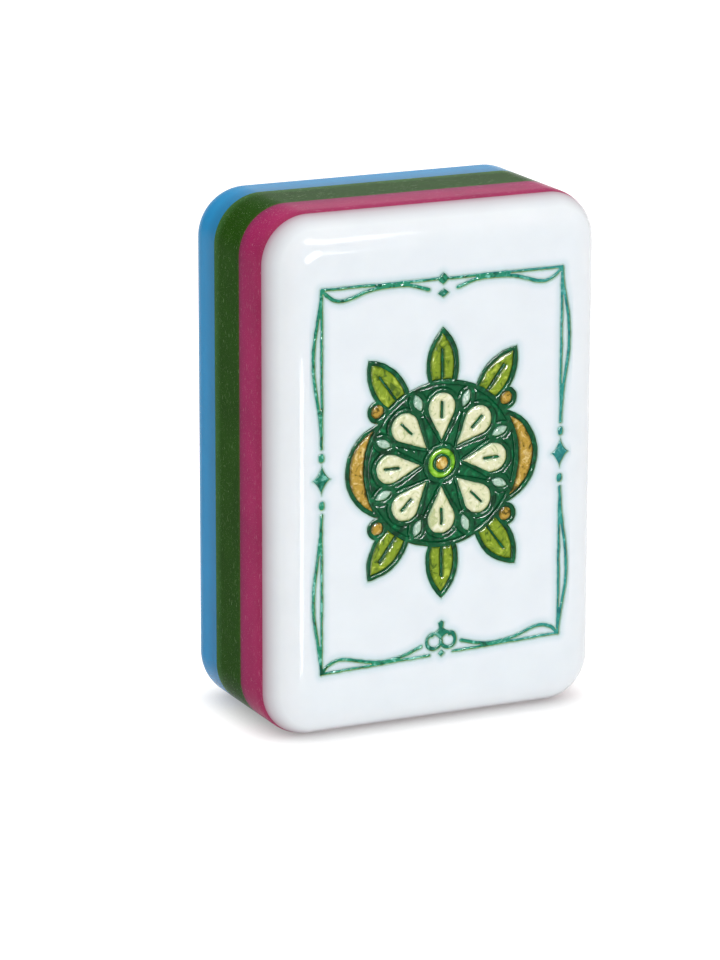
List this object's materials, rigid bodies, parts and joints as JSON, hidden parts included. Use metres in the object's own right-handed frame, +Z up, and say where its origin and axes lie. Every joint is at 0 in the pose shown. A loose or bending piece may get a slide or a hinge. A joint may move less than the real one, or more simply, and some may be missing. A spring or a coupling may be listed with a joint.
{
  "type": "mahjong tile",
  "caption": "Upright mahjong tile with rounded edges, made of bonded coloured resin layers, its white front engraved and filled with glossy paint.",
  "frame": {"origin": "middle of the base edge, at half the depth, on the surface that the tile stands on", "axes": "+Z up along the tile's height, +X to the right of someone who looks at the front, -Y out of the front"},
  "size_m": [0.024, 0.014, 0.035],
  "materials": {
    "blue_resin": "polished",
    "green_resin": "polished",
    "pink_resin": "polished",
    "white_resin": "polished",
    "border_paint": "glossy, thick",
    "ornament_paint": "glossy, thick",
    "outline_paint": "glossy, thick",
    "ground_paint": "glossy, thick",
    "cream_paint": "glossy, thick",
    "accent_paint": "glossy, thick",
    "leaf_paint": "glossy, thick",
    "gold_paint": "glossy, thick",
    "lime_paint": "glossy, thick",
    "heart_paint": "glossy, thick"
  },
  "bodies": {
    "root": {"back_layer": "blue_resin", "green_layer": "green_resin", "pink_layer": "pink_resin", "face_layer": "white_resin", "upper_border": "border_paint", "lower_left_border": "border_paint", "lower_right_border": "border_paint", "left_star": "ornament_paint", "right_star": "ornament_paint", "left_upper_bead": "border_paint", "left_lower_bead": "border_paint", "right_upper_bead": "border_paint", "right_lower_bead": "border_paint", "top_bead": "ornament_paint", "bottom_scroll": "ornament_paint", "bottom_bead": "ornament_paint", "flower_outline": "outline_paint", "flower_ground": "ground_paint", "flower_heart": "lime_paint", "heart_bead": "heart_paint", "petal_1": "cream_paint", "petal_2": "cream_paint", "petal_3": "cream_paint", "petal_4": "cream_paint", "petal_5": "cream_paint", "petal_6": "cream_paint", "petal_7": "cream_paint", "petal_8": "cream_paint", "accent_1": "accent_paint", "accent_2": "accent_paint", "accent_3": "accent_paint", "accent_4": "accent_paint", "accent_5": "accent_paint", "accent_6": "accent_paint", "accent_7": "accent_paint", "accent_8": "accent_paint", "leaf_1": "leaf_paint", "leaf_2": "leaf_paint", "leaf_3": "leaf_paint", "leaf_4": "leaf_paint", "leaf_5": "leaf_paint", "leaf_6": "leaf_paint", "left_crescent": "gold_paint", "right_crescent": "gold_paint", "berry_1": "gold_paint", "berry_2": "gold_paint", "berry_3": "gold_paint", "berry_4": "gold_paint"}
  },
  "joints": []
}
